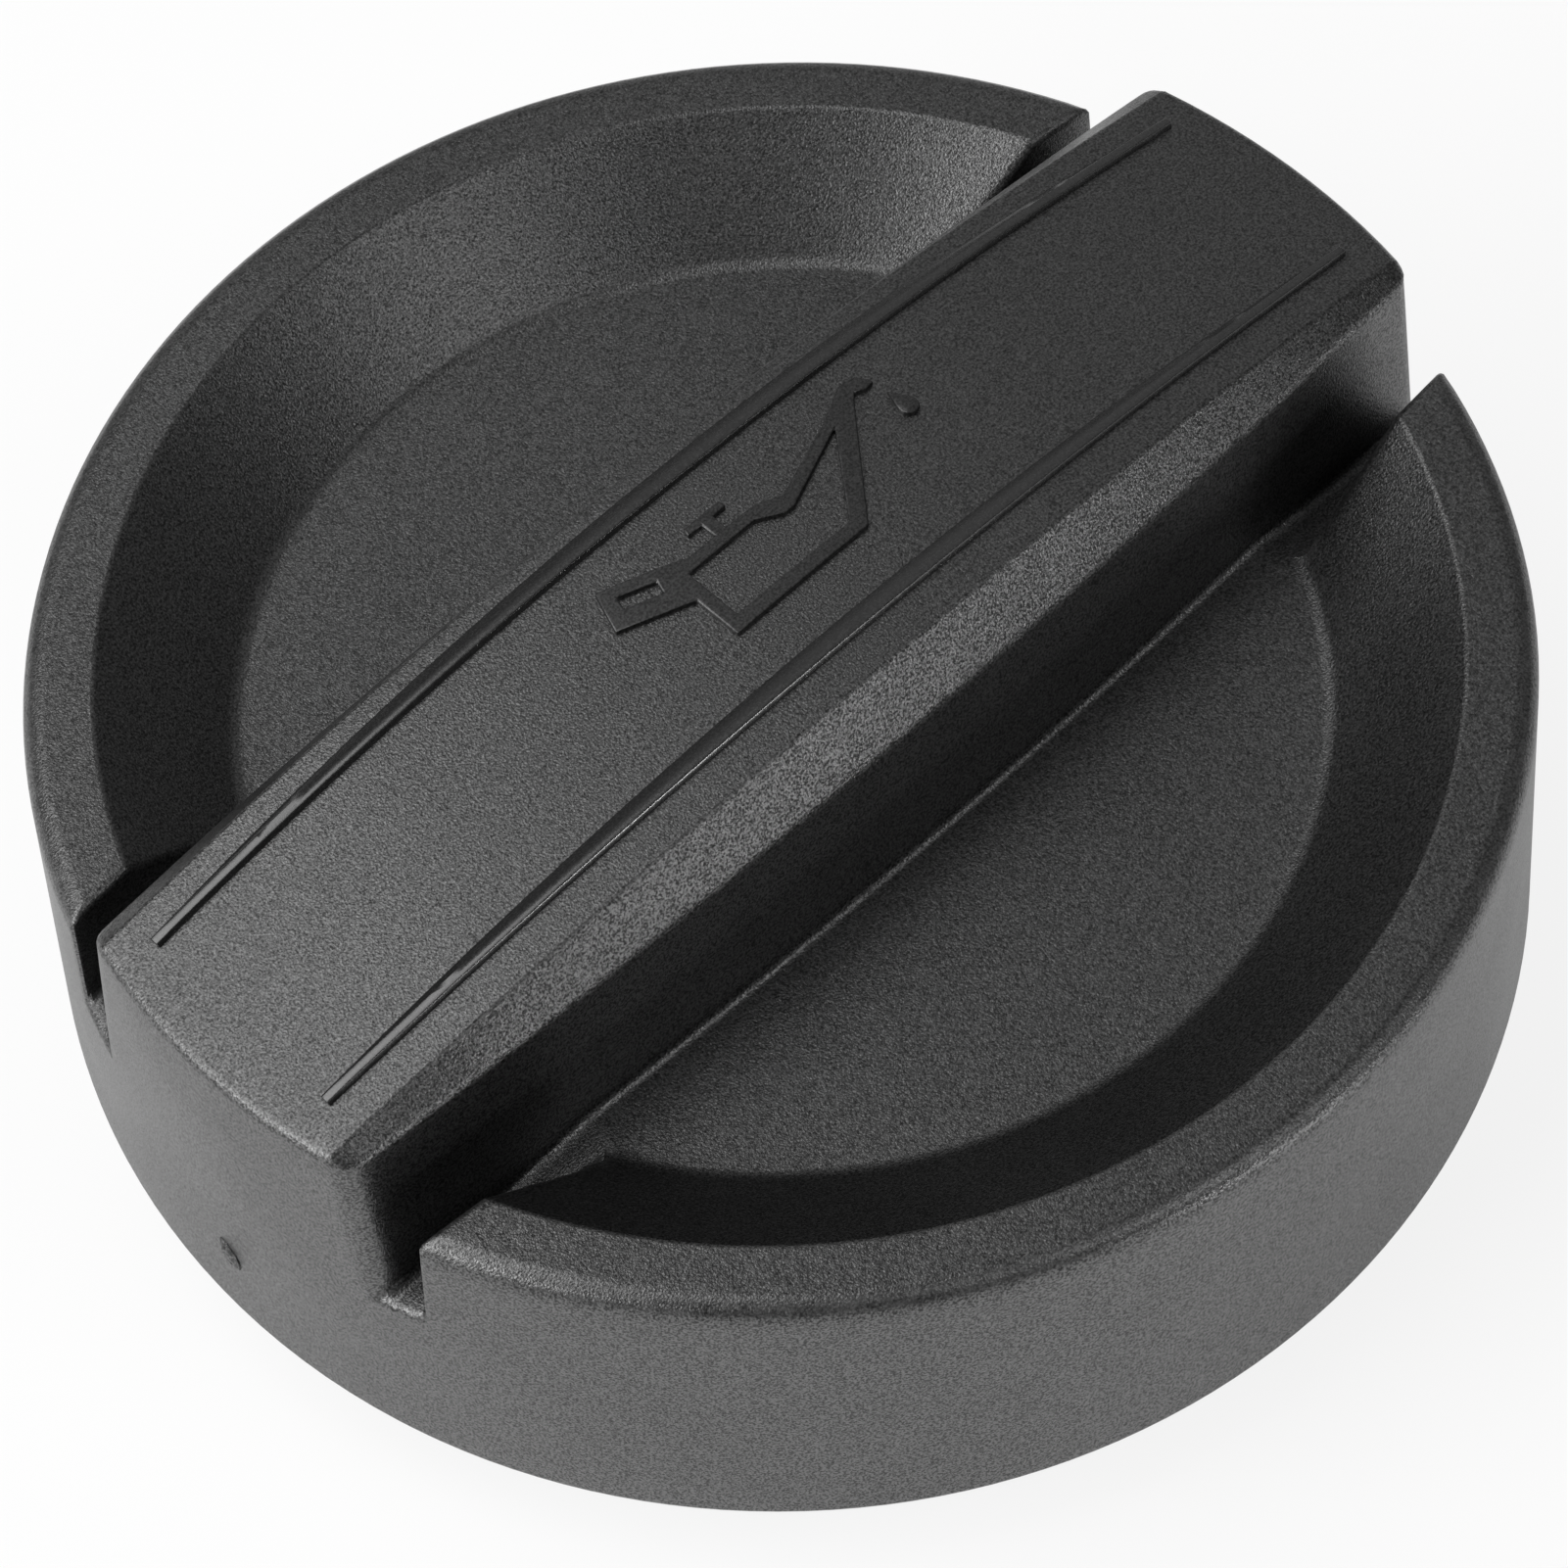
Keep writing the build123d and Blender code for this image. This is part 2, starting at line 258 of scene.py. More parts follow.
def smooth_nylon(name, roughness, specular):
    """The same nylon where the mould was cut smoother, with only a trace of grain."""
    material, tree, shader, where = new_material(name)
    grain = noise(tree, where, GRAIN_SIZE, *GRAIN_NOISE)
    dress(tree, shader, grain, SMOOTH_DEPTH, {
        "Base Color": blend_greys(tree, ramp(tree, grain, PALE_RANGE), NYLON_DARK, SMOOTH_PALE),
        "Specular IOR Level": ramp(tree, grain, NOISE_RANGE, specular),
        "Roughness": ramp(tree, grain, NOISE_RANGE, around(roughness)),
    })
    return material


def torn_nylon():
    """The nylon where it was torn off: dull, paler and stringy."""
    material, tree, shader, where = new_material("torn_black_nylon", {"Specular IOR Level": TORN_SPECULAR})
    strings = noise(tree, where, TORN_SIZE, *TORN_NOISE)
    dress(tree, shader, strings, TORN_DEPTH, {
        "Base Color": blend_greys(tree, ramp(tree, strings, TORN_RANGE), NYLON_DARK, TORN_PALE),
        "Roughness": ramp(tree, strings, NOISE_RANGE, TORN_ROUGHNESS),
    })
    return material


def seal_rubber():
    """Matt black rubber with a fine tooth and a faint bloom."""
    material, tree, shader, where = new_material("black_seal_rubber", {"Specular IOR Level": RUBBER_SPECULAR})
    tooth = noise(tree, where, TOOTH_SIZE, *GRAIN_NOISE)
    bloom = ramp(tree, noise(tree, where, BLOOM_SIZE, *BLOOM_NOISE), BLOOM_RANGE)
    dress(tree, shader, tooth, TOOTH_DEPTH, {
        "Base Color": blend_greys(tree, bloom, RUBBER_DARK, RUBBER_PALE),
        "Roughness": ramp(tree, tooth, NOISE_RANGE, RUBBER_ROUGHNESS),
    })
    return material


GRAINED_NYLON, TORN_NYLON, SEAL_RUBBER = grained_nylon(), torn_nylon(), seal_rubber()
SMOOTH_NYLON = smooth_nylon("smooth_black_nylon", SMOOTH_ROUGHNESS, SMOOTH_SPECULAR)
POLISHED_NYLON = smooth_nylon("polished_black_nylon", POLISHED_ROUGHNESS, POLISHED_SPECULAR)


def mix(a, b, t):
    """Value at a share t of the way from a to b."""
    return a + (b - a) * t


def mix_points(p, q, t):
    """Point at a share t of the way from p to q."""
    return tuple(mix(a, b, t) for a, b in zip(p, q))


def bow(x, ends):
    """A size that runs in a shallow bow along the bar, from its middle to its ends at the rim."""
    return mix(ends[0], ends[1], (x / RIM_R) ** 2)


def skirt_r(z):
    """Radius of the flared skirt."""
    return mix(RIM_R, SKIRT_R, (RIM_Z - z) / (RIM_Z - SKIRT_Z))


def inside_r(z):
    """Radius of the skirt's inner face."""
    return skirt_r(z) - SKIRT_WALL


def bar_top_z(x):
    """Height of the bar's arched top."""
    return RIM_Z + bow(x, BAR_TOP)


def bar_wall_y(x, z):
    """Half width of the bar between its leaning walls."""
    return bow(x, BAR_FOOT_HALF_WIDTH) + BAR_LEAN * (FLOOR_Z - z)


def channel_z(x):
    """Height of the floor beside the bar, which falls outwards in the channel."""
    return FLOOR_Z - CHANNEL_FALL * max(0.0, x - CHANNEL_START)


def settle(step, start):
    """The value that a gently changing formula settles at."""
    value = start
    for _ in range(SETTLE_STEPS):
        value = step(value)
    return value


def edit_mesh(mesh, change):
    """Changes a mesh by a function that is given its points, edges and faces."""
    shape = bmesh.new()
    shape.from_mesh(mesh)
    change(shape)
    shape.to_mesh(mesh)
    shape.free()


def face_outwards(shape):
    """Turns all faces of a closed shape outwards."""
    bmesh.ops.recalc_face_normals(shape, faces=shape.faces)


def new_object(name, points, faces):
    """Mesh object from points in millimetres, with its faces turned outwards."""
    mesh = bpy.data.meshes.new(name)
    mesh.from_pydata([Vector(p) * MM for p in points], [], faces)
    mesh.materials.append(GRAINED_NYLON)
    edit_mesh(mesh, face_outwards)
    thing = bpy.data.objects.new(name, mesh)
    bpy.context.scene.collection.objects.link(thing)
    return thing


def repaint(thing, finish):
    """Gives a whole object one finish."""
    thing.data.materials.clear()
    thing.data.materials.append(finish)
    return thing


class Shell:
    """Faces collected from separate patches, with the points that patches share joined into one."""

    def __init__(self, mirrored=False):
        self.signs = ((1, 1), (-1, 1), (-1, -1), (1, -1)) if mirrored else ((1, 1),)
        self.numbers, self.points, self.faces, self.rounds = {}, [], [], {}

    def number(self, point):
        """Number of a point, which is new if no patch has it yet."""
        key = tuple(round(v, SAME_POINT_DIGITS) + 0.0 for v in point)
        if key not in self.numbers:
            self.numbers[key] = len(self.points)
            self.points.append(point)
        return self.numbers[key]

    def face(self, corners):
        """Adds a face, and its mirror images, unless its corners fall together."""
        for sx, sy in self.signs:
            loop = list(dict.fromkeys(self.number((sx * x, sy * y, z)) for x, y, z in corners))
            if len(loop) > 2:
                self.faces.append(loop if sx * sy > 0 else loop[::-1])

    def grid(self, rows):
        """Adds the faces between neighbouring rows of points."""
        for low, high in zip(rows, rows[1:]):
            for i in range(len(low) - 1):
                self.face([low[i], low[i + 1], high[i + 1], high[i]])

    def round_edges(self, line, radius):
        """Marks the edges along a line of points for rounding."""
        for sx, sy in self.signs:
            numbers = [self.number((sx * x, sy * y, z)) for x, y, z in line]
            for pair in zip(numbers, numbers[1:]):
                self.rounds[tuple(sorted(pair))] = radius

    def make(self, name):
        """The collected faces as an object."""
        return new_object(name, self.points, self.faces)


def bar_row(part, t, x):
    """Half width and height of one line along the bar: across its top, down its flank, or down its wall."""
    edge = bow(x, BAR_TOP_HALF_WIDTH)
    if part == "top":
        return edge * t, bar_top_z(x)
    if part == "flank":
        return mix(edge, bar_wall_y(x, SHOULDER_Z), t), mix(bar_top_z(x), SHOULDER_Z, t)
    z = mix(SHOULDER_Z, channel_z(x), t)
    return bar_wall_y(x, z), z


def bar_row_end(row):
    """Distance from the middle at which a line along the bar meets the skirt's face."""
    def step(x):
        y, z = bar_row(*row, x)
        return sqrt(skirt_r(z) ** 2 - y**2)
    return settle(step, RIM_R)


def mouth_corner(z):
    """Point at a height where the channel's outer wall meets the skirt's face."""
    x = settle(lambda x: sqrt(skirt_r(z) ** 2 - bow(x, CHANNEL_HALF_WIDTH) ** 2), RIM_R)
    return x, bow(x, CHANNEL_HALF_WIDTH), z


def on_face(angle, z):
    """Point of the skirt's face."""
    return skirt_r(z) * cos(angle), skirt_r(z) * sin(angle), z


def angle_of(point):
    """Angle of a point about the cap's axis."""
    return atan2(point[1], point[0])


def quarter_angles(first):
    """Even angles from a first one to the middle of the side."""
    return [mix(first, pi / 2, a / ARC_STEPS) for a in range(ARC_STEPS + 1)]


def outer_skin():
    """The moulding's outside as a closed solid, still full underneath, with the edges that get rounded."""
    skin = Shell(mirrored=True)

    # Rings of the rim and the recess wall, from the channel's outer wall round to the middle of the side
    radii = [mix(FLOOR_R, RIM_INNER_R, k / CONE_STEPS) for k in range(CONE_STEPS)]
    radii += [mix(RIM_INNER_R, RIM_R, k / RIM_STEPS) for k in range(RIM_STEPS + 1)]
    heights = [mix(FLOOR_Z, RIM_Z, min(1.0, k / CONE_STEPS)) for k in range(len(radii))]
    wall_x = [settle(lambda x, r=r: sqrt(r**2 - bow(x, CHANNEL_HALF_WIDTH) ** 2), r) for r in radii]
    rings = []
    for r, z, x in zip(radii, heights, wall_x):
        angles = quarter_angles(atan2(bow(x, CHANNEL_HALF_WIDTH), x))
        rings.append([(r * cos(angle), r * sin(angle), z) for angle in angles])
    skin.grid(rings)

    # The bar, as lines that run from its middle to its end on the skirt's face
    rows = [("top", j / TOP_STEPS) for j in range(TOP_STEPS)]
    rows += [("flank", j / FLANK_STEPS) for j in range(FLANK_STEPS)]
    rows += [("wall", j / WALL_STEPS) for j in range(WALL_STEPS + 1)]
    foot_end = bar_row_end(rows[-1])
    stations = [CHANNEL_START * i / ARC_STEPS for i in range(ARC_STEPS)]
    span = wall_x[-1] - wall_x[0]
    stations += [mix(CHANNEL_START, foot_end, (x - wall_x[0]) / span) for x in wall_x]
    bar = []
    for row in rows:
        stretch = bar_row_end(row) / foot_end
        bar.append([(x * stretch, *bar_row(*row, x * stretch)) for x in stations])
    skin.grid(bar)

    # The level floor of the recess, between the bar's foot and the recess wall
    foot = bar[-1]
    pairs = [(foot[i], rings[0][ARC_STEPS - i]) for i in range(ARC_STEPS + 1)]
    skin.grid([[mix_points(inner, outer, t) for inner, outer in pairs] for t in FLOOR_SPLIT])

    # The channel: its outer wall, and its floor, which falls outwards, both ending on the skirt's face
    mouth_z = channel_z(wall_x[-1])
    wall_rows = []
    for c in range(MOUTH_STEPS + 1):
        t = c / MOUTH_STEPS
        row = []
        for x, z in zip(wall_x[:-1], heights):
            low = mix(FLOOR_Z, mouth_z, (x - wall_x[0]) / span)
            row.append((x, bow(x, CHANNEL_HALF_WIDTH), mix(low, z, t)))
        row.append(mouth_corner(mix(mouth_z, RIM_Z, t)))
        wall_rows.append(row)
    skin.grid(wall_rows)
    floor_rows = []
    for inner, outer in zip(foot[ARC_STEPS:], wall_rows[0]):
        floor_rows.append([mix_points(inner, outer, t) for t in FLOOR_SPLIT])
    lip = [(sqrt(skirt_r(z) ** 2 - y**2), y, z) for _, y, z in floor_rows[-1]]
    floor_rows[-1] = lip
    skin.grid(floor_rows)

    # The skirt's face: the end of the bar, the part beside the mouth, and the plain band below them
    ends = [line[-1] for line in bar]
    across = TOP_STEPS + FLANK_STEPS
    top_angles = [angle_of(p) for p in ends[: across + 1]]
    end_rows = []
    for corner in ends[across:]:
        t = (corner[2] - ends[across][2]) / (ends[-1][2] - ends[across][2])
        row = []
        for j in range(across + 1):
            share = mix(top_angles[j] / top_angles[-1], j / across, t)
            row.append(on_face(angle_of(corner) * share, mix(ends[j][2], ends[-1][2], t)))
        end_rows.append(row)
    skin.grid(end_rows)
    side_rows = []
    for row in wall_rows:
        corner = row[-1]
        side_rows.append([on_face(angle, corner[2]) for angle in quarter_angles(angle_of(corner))])
    skin.grid(side_rows)
    band_top = end_rows[-1] + lip[1:] + side_rows[0][1:]
    band = []
    for b in range(SKIRT_STEPS + 1):
        band.append([on_face(angle_of(p), mix(p[2], SKIRT_Z, b / SKIRT_STEPS)) for p in band_top])
    skin.grid(band)
    skin.face([(0, 0, SKIRT_Z)] + band[-1])

    skin.round_edges(bar[TOP_STEPS], ROUND_TOP)
    skin.round_edges(bar[across], ROUND_SHOULDER)
    skin.round_edges(foot, ROUND_FOOT)
    skin.round_edges(ends[: across + 1], ROUND_BAR_END)
    skin.round_edges(ends[across:], ROUND_BAR_CORNER)
    skin.round_edges(lip, ROUND_MOUTH)
    skin.round_edges([row[-1] for row in wall_rows], ROUND_MOUTH)
    skin.round_edges(wall_rows[-1][1:], ROUND_MOUTH)
    skin.round_edges(wall_rows[0][1:], ROUND_MOUTH)
    skin.round_edges(rings[0], ROUND_FLOOR)
    skin.round_edges(rings[CONE_STEPS], ROUND_RIM_INNER)
    skin.round_edges(rings[-1], ROUND_RIM)
    skin.round_edges(band[-1], ROUND_SKIRT)
    return skin


def apply_modifiers(thing):
    """Turns an object's modifiers into plain mesh."""
    bpy.context.view_layer.update()
    evaluated = thing.evaluated_get(bpy.context.evaluated_depsgraph_get())
    mesh = bpy.data.meshes.new_from_object(evaluated)
    thing.modifiers.clear()
    thing.data = mesh


def rounded(shell, name):
    """The shell as an object whose marked edges are rounded, each by its own radius."""
    thing = shell.make(name)

    def mark(shape):
        weight = shape.edges.layers.float.new("bevel_weight_edge")
        for edge in shape.edges:
            pair = tuple(sorted(v.index for v in edge.verts))
            edge[weight] = shell.rounds.get(pair, 0.0)

    edit_mesh(thing.data, mark)
    bevel = thing.modifiers.new("rounding", "BEVEL")
    bevel.limit_method = "WEIGHT"
    bevel.width = 1.0 * MM
    bevel.segments = ROUND_SEGMENTS
    bevel.use_clamp_overlap = False
    apply_modifiers(thing)
    return thing


def combine(target, tool, operation):
    """Joins a solid to another, cuts it away, or keeps what they share."""
    boolean = target.modifiers.new("combine", "BOOLEAN")
    boolean.operation = operation
    boolean.solver = "MANIFOLD"
    boolean.material_mode = "TRANSFER"
    boolean.object = tool
    apply_modifiers(target)
    bpy.data.objects.remove(tool)


def close_seams(shape):
    """Joins points that lie on each other, and turns the faces outwards."""
    bmesh.ops.remove_doubles(shape, verts=shape.verts, dist=SAME_POINT * MM)
    face_outwards(shape)


def soft_edges(thing, radius):
    """Rounds every crisp edge of an object a little."""
    bevel = thing.modifiers.new("soft edges", "BEVEL")
    bevel.limit_method = "ANGLE"
    bevel.angle_limit = radians(SOFT_ANGLE)
    bevel.width = radius * MM
    bevel.segments = SOFT_SEGMENTS
    bevel.use_clamp_overlap = False
    bevel.loop_slide = False
    apply_modifiers(thing)
    return thing


def node_tree(name, sizes):
    """Geometry node tree with a named input for each size, and its input node."""
    tree = bpy.data.node_groups.new(name, "GeometryNodeTree")
    tree.interface.new_socket("Geometry", in_out="INPUT", socket_type="NodeSocketGeometry")
    for label, value in sizes.items():
        kind = "NodeSocketInt" if isinstance(value, int) else "NodeSocketFloat"
        tree.interface.new_socket(label, in_out="INPUT", socket_type=kind)
    tree.interface.new_socket("Finish", in_out="INPUT", socket_type="NodeSocketMaterial")
    tree.interface.new_socket("Geometry", in_out="OUTPUT", socket_type="NodeSocketGeometry")
    return tree, add(tree, "NodeGroupInput").outputs


def run_tree(thing, tree, size, made, sizes, finish):
    """Ends a tree with plain geometry in one finish, runs it on an object and keeps its mesh."""
    plain = add(tree, "GeometryNodeRealizeInstances", {"Geometry": made})
    dressed = add(tree, "GeometryNodeSetMaterial", {"Geometry": plain.outputs[0], "Material": size["Finish"]})
    add(tree, "NodeGroupOutput", {"Geometry": dressed.outputs[0]})
    modifier = thing.modifiers.new(tree.name, "NODES")
    modifier.node_group = tree
    values = dict(sizes, Finish=finish)
    for item in tree.interface.items_tree:
        if item.in_out == "INPUT" and item.name in values:
            modifier[item.identifier] = values[item.name]
    apply_modifiers(thing)


def set_round(thing, count, first, step):
    """Repeats an object about the cap's axis with geometry nodes, from a first angle in equal steps."""
    sizes = {"Count": count, "First Angle": radians(first), "Step Angle": radians(step)}
    tree, size = node_tree("set round the axis", sizes)
    spots = add(tree, "GeometryNodeMeshLine", {"Count": size["Count"], "Offset": (0, 0, 0)})
    index = add(tree, "GeometryNodeInputIndex").outputs[0]
    turn = sums(tree, "MULTIPLY_ADD", index, size["Step Angle"], size["First Angle"])
    about_axis = add(tree, "ShaderNodeCombineXYZ", {2: turn})
    copies = add(tree, "GeometryNodeInstanceOnPoints", {
        "Points": spots.outputs[0], "Instance": size["Geometry"], "Rotation": about_axis.outputs[0],
    })
    run_tree(thing, tree, size, copies.outputs[0], sizes, GRAINED_NYLON)
    return thing


def turned(name, profile):
    """Solid of revolution of a closed profile of (radius, height)."""
    shell = Shell()
    angles = [2 * pi * i / TURN_STEPS for i in range(TURN_STEPS + 1)]
    rings = [[(r * cos(angle), r * sin(angle), z) for angle in angles] for r, z in profile]
    shell.grid(rings + rings[:1])
    return shell.make(name)


def prism(name, sections):
    """Closed solid through a row of sections, each a list of the same number of points."""
    shell = Shell()
    shell.grid([section + section[:1] for section in sections])
    shell.face(sections[0])
    shell.face(sections[-1])
    return shell.make(name)


def seat_edge_r():
    """Outer radius of the level seat, where the underside turns up parallel to the recess wall."""
    run, rise = RIM_INNER_R - FLOOR_R, RIM_Z - FLOOR_Z
    length = sqrt(run**2 + rise**2)
    low_z = FLOOR_Z - PLATE * run / length
    return FLOOR_R + PLATE * rise / length - (low_z - SEAT_Z) * run / rise


def trough(side):
    """Material that is left round the channels under one end of the bar, outside the ring's seat."""
    sections = []
    for i in range(TROUGH_STEPS + 1):
        x = mix(CHANNEL_START, SKIRT_R + OVERLAP, i / TROUGH_STEPS)
        half = bow(x, CHANNEL_HALF_WIDTH) + CHANNEL_WALL
        low = channel_z(x) - CHANNEL_FLOOR
        corners = ((-half, low), (half, low), (half, RIM_Z), (-half, RIM_Z))
        sections.append([(side * x, y, z) for y, z in corners])
    block = prism("trough", sections)
    edge = seat_edge_r()
    below_seat = [(0, SKIRT_Z), (edge, SKIRT_Z), (edge, SEAT_Z), (0, SEAT_Z)]
    combine(block, turned("below_seat", below_seat), "DIFFERENCE")
    return block


def gussets():
    """Thin upright ribs between the recess wall and the skirt, in two groups."""
    top = RIM_Z - PLATE
    corners = [
        (seat_edge_r() - OVERLAP, SEAT_Z), (inside_r(SEAT_Z) + OVERLAP, SEAT_Z),
        (inside_r(top) + OVERLAP, top + OVERLAP),
    ]
    sides = [[(r, across, z) for r, z in corners] for across in (-GUSSET / 2, GUSSET / 2)]
    groups = []
    for middle in (90, 270):
        first = middle - GUSSET_STEP * (GUSSETS_PER_SIDE - 1) / 2
        groups.append(set_round(prism("gussets", sides), GUSSETS_PER_SIDE, first, GUSSET_STEP))
    return groups


def lugs():
    """The two bayonet lugs, whose upper faces fall towards their leading ends."""
    root, tip = NECK_R - OVERLAP, NECK_R + LUG_REACH
    low_corners = [(root, LUG_LOW_Z), (tip - LUG_LEAD_IN, LUG_LOW_Z), (tip, LUG_LOW_Z + LUG_LEAD_IN)]
    sections = []
    for i in range(LUG_STEPS + 1):
        angle = radians(90 + LUG_ANGLE * (i / LUG_STEPS - 0.5))
        section = [(r * cos(angle), r * sin(angle), z) for r, z in low_corners]
        for r in (tip, root):
            x, y = r * cos(angle), r * sin(angle)
            section.append((x, y, LUG_TOP_Z - max(0.0, x) * tan(radians(LUG_RAMP))))
        sections.append(section)
    return set_round(prism("lugs", sections), 2, 0, 180)


def bar_core():
    """Hollow inside the bar."""
    sections = []
    for i in range(CORE_STEPS + 1):
        x = mix(-SKIRT_R, SKIRT_R, i / CORE_STEPS)
        levels = (SKIRT_Z - 2 * OVERLAP, SHOULDER_Z - BAR_WALL)
        half = [(bar_wall_y(x, z) - BAR_WALL, z) for z in levels]
        half.append((bow(x, BAR_TOP_HALF_WIDTH) - BAR_WALL, bar_top_z(x) - BAR_WALL))
        outline = half + [(-y, z) for y, z in reversed(half)]
        sections.append([(x, y, z) for y, z in outline])
    return prism("bar_core", sections)


def raised_lines():
    """The two thin lines along the bar's top, swept along its arch by geometry nodes."""
    bows = {
        "Offset": LINE_OFFSET, "Height": (bar_top_z(0), bar_top_z(RIM_R)),
        "Spread": LINE_SPREAD, "Shift": LINE_SHIFT,
    }
    sizes = {"Half Length": LINE_HALF_LENGTH * MM, "Rim Radius": RIM_R * MM}
    for label, ends in bows.items():
        sizes[f"Middle {label}"], sizes[f"End {label}"] = ends[0] * MM, ends[1] * MM
    tree, size = node_tree("raised lines", sizes)

    # Points along the bar, and each size that bows between its middle and its ends
    near = add(tree, "ShaderNodeCombineXYZ", {0: size["Half Length"]}).outputs[0]
    far = add(tree, "ShaderNodeVectorMath", {0: near, "Scale": -1.0}, operation="SCALE").outputs[0]
    straight = add(tree, "GeometryNodeCurvePrimitiveLine", {"Start": far, "End": near})
    points = add(tree, "GeometryNodeResampleCurve", {"Curve": straight.outputs[0], "Count": LINE_POINTS})
    spot = add(tree, "ShaderNodeSeparateXYZ", {0: add(tree, "GeometryNodeInputPosition").outputs[0]}).outputs
    square = sums(tree, "POWER", sums(tree, "DIVIDE", spot["X"], size["Rim Radius"]), 2.0)
    bowed = {}
    for label in bows:
        ends = {"Factor": square, "A": size[f"Middle {label}"], "B": size[f"End {label}"]}
        bowed[label] = add(tree, "ShaderNodeMix", ends).outputs[0]
    widening = add(tree, "ShaderNodeCombineXYZ", {1: bowed["Spread"]}).outputs[0]

    # The sweep turns a section half round, so its corners are given the other way up
    section = add(tree, "GeometryNodeCurvePrimitiveQuadrilateral", {
        f"Point {i + 1}": (-across * MM, -up * MM, 0)
        for i, (across, up) in enumerate([LINE_FRONT, *LINE_TOP, LINE_BACK])
    }, mode="POINTS")
    slope_middle = (LINE_TOP[1][0] + LINE_BACK[0]) / 2
    both = add(tree, "GeometryNodeJoinGeometry")
    for side in (1, -1):
        across = sums(tree, "MULTIPLY_ADD", bowed["Offset"], side, bowed["Shift"])
        place = add(tree, "ShaderNodeCombineXYZ", {0: spot["X"], 1: across, 2: bowed["Height"]})
        path = add(tree, "GeometryNodeSetPosition", {
            "Geometry": points.outputs[0], "Position": place.outputs[0],
        })
        upright = add(tree, "GeometryNodeSetCurveNormal", {"Curve": path.outputs[0]}, mode="Z_UP")
        swept = add(tree, "GeometryNodeCurveToMesh", {
            "Curve": upright.outputs[0], "Profile Curve": section.outputs[0], "Fill Caps": True,
        })
        # The foot of the slope behind the line moves out by the spread
        back = sums(tree, "ADD", across, slope_middle * MM)
        beyond = add(tree, "FunctionNodeCompare", {"A": spot["Y"], "B": back}, operation="GREATER_THAN")
        widened = add(tree, "GeometryNodeSetPosition", {
            "Geometry": swept.outputs[0], "Selection": beyond.outputs[0], "Offset": widening,
        })
        tree.links.new(widened.outputs[0], both.inputs[0])
    lines = new_object("raised_lines", [], [])
    run_tree(lines, tree, size, both.outputs[0], sizes, POLISHED_NYLON)
    edit_mesh(lines.data, close_seams)
    return soft_edges(lines, LINE_ROUND)


def relief(name, outline):
    """Upright block of an outline that stands through the bar's top."""
    levels = (RIM_Z, RIM_Z + BAR_TOP[0] + OVERLAP)
    return prism(name, [[(x, y, z) for x, y in outline] for z in levels])


def drop_outline():
    """Outline of the drop: a round foot, and a tip that its sides run to."""
    centre = Vector(DROP_CENTRE)
    away = Vector(DROP_TIP) - centre
    heading = atan2(away.y, away.x)
    touch = acos(DROP_R / away.length)
    turns = [heading + mix(touch, 2 * pi - touch, i / DROP_STEPS) for i in range(DROP_STEPS + 1)]
    return [DROP_TIP] + [(centre.x + DROP_R * cos(a), centre.y + DROP_R * sin(a)) for a in turns]


def oil_can():
    """Low raised sign of an oil can with a drop, cut to follow the arch of the bar's top."""
    sign = relief("oil_can", CAN)
    combine(sign, relief("can_window", CAN_WINDOW), "DIFFERENCE")
    combine(sign, relief("handle_window", HANDLE_WINDOW), "DIFFERENCE")
    combine(sign, relief("filler_knob", FILLER_KNOB), "UNION")
    combine(sign, relief("drop", drop_outline()), "UNION")
    sections = []
    for i in range(SIGN_STEPS + 1):
        x = mix(*SIGN_SPAN, i / SIGN_STEPS)
        high = bar_top_z(x) + SIGN_HEIGHT
        low = high - SIGN_ROOT
        half = SIGN_HALF_WIDTH
        sections.append([(x, -half, low), (x, half, low), (x, half, high), (x, -half, high)])
    combine(sign, prism("sign_depth", sections), "INTERSECT")
    return soft_edges(repaint(sign, SMOOTH_NYLON), SIGN_ROUND)


def gate_stub():
    """Low torn stub of lens shape, left on the skirt where the moulding gate was broken off."""
    ragged = Random(GATE_SEED)
    lean = radians(GATE_LEAN)
    sections = []
    for proud, share in GATE_LEVELS:
        section = []
        for i in range(GATE_STEPS):
            turn = 2 * pi * i / GATE_STEPS
            along = GATE_LENGTH / 2 * share * cos(turn)
            across = GATE_WIDTH / 2 * share * sin(turn) * abs(sin(turn)) ** GATE_POINTED
            across += ragged.uniform(-GATE_RAGGED, GATE_RAGGED)
            y = along * sin(lean) - across * cos(lean)
            z = GATE_Z + along * cos(lean) + across * sin(lean)
            r = skirt_r(z) + GATE_PROUD * (proud + ragged.uniform(-GATE_UNEVEN, GATE_UNEVEN))
            section.append((-sqrt(r**2 - y**2), y, z))
        sections.append(section)
    return repaint(prism("gate_stub", sections), TORN_NYLON)


def sealing_ring():
    """Rubber ring flat on its seat, with rounded lower corners."""
    inner = NECK_R + SEAL_GAP
    outer = inner + SEAL_WIDTH
    profile = [(inner, SEAT_Z)]
    for middle, first in ((inner + SEAL_ROUND, pi), (outer - SEAL_ROUND, 1.5 * pi)):
        for i in range(SEAL_STEPS + 1):
            angle = first + pi / 2 * i / SEAL_STEPS
            r, z = middle + SEAL_ROUND * cos(angle), SEAL_Z + SEAL_ROUND + SEAL_ROUND * sin(angle)
            profile.append((r, z))
    profile.append((outer, SEAT_Z))
    return repaint(turned("rubber_ring", profile), SEAL_RUBBER)


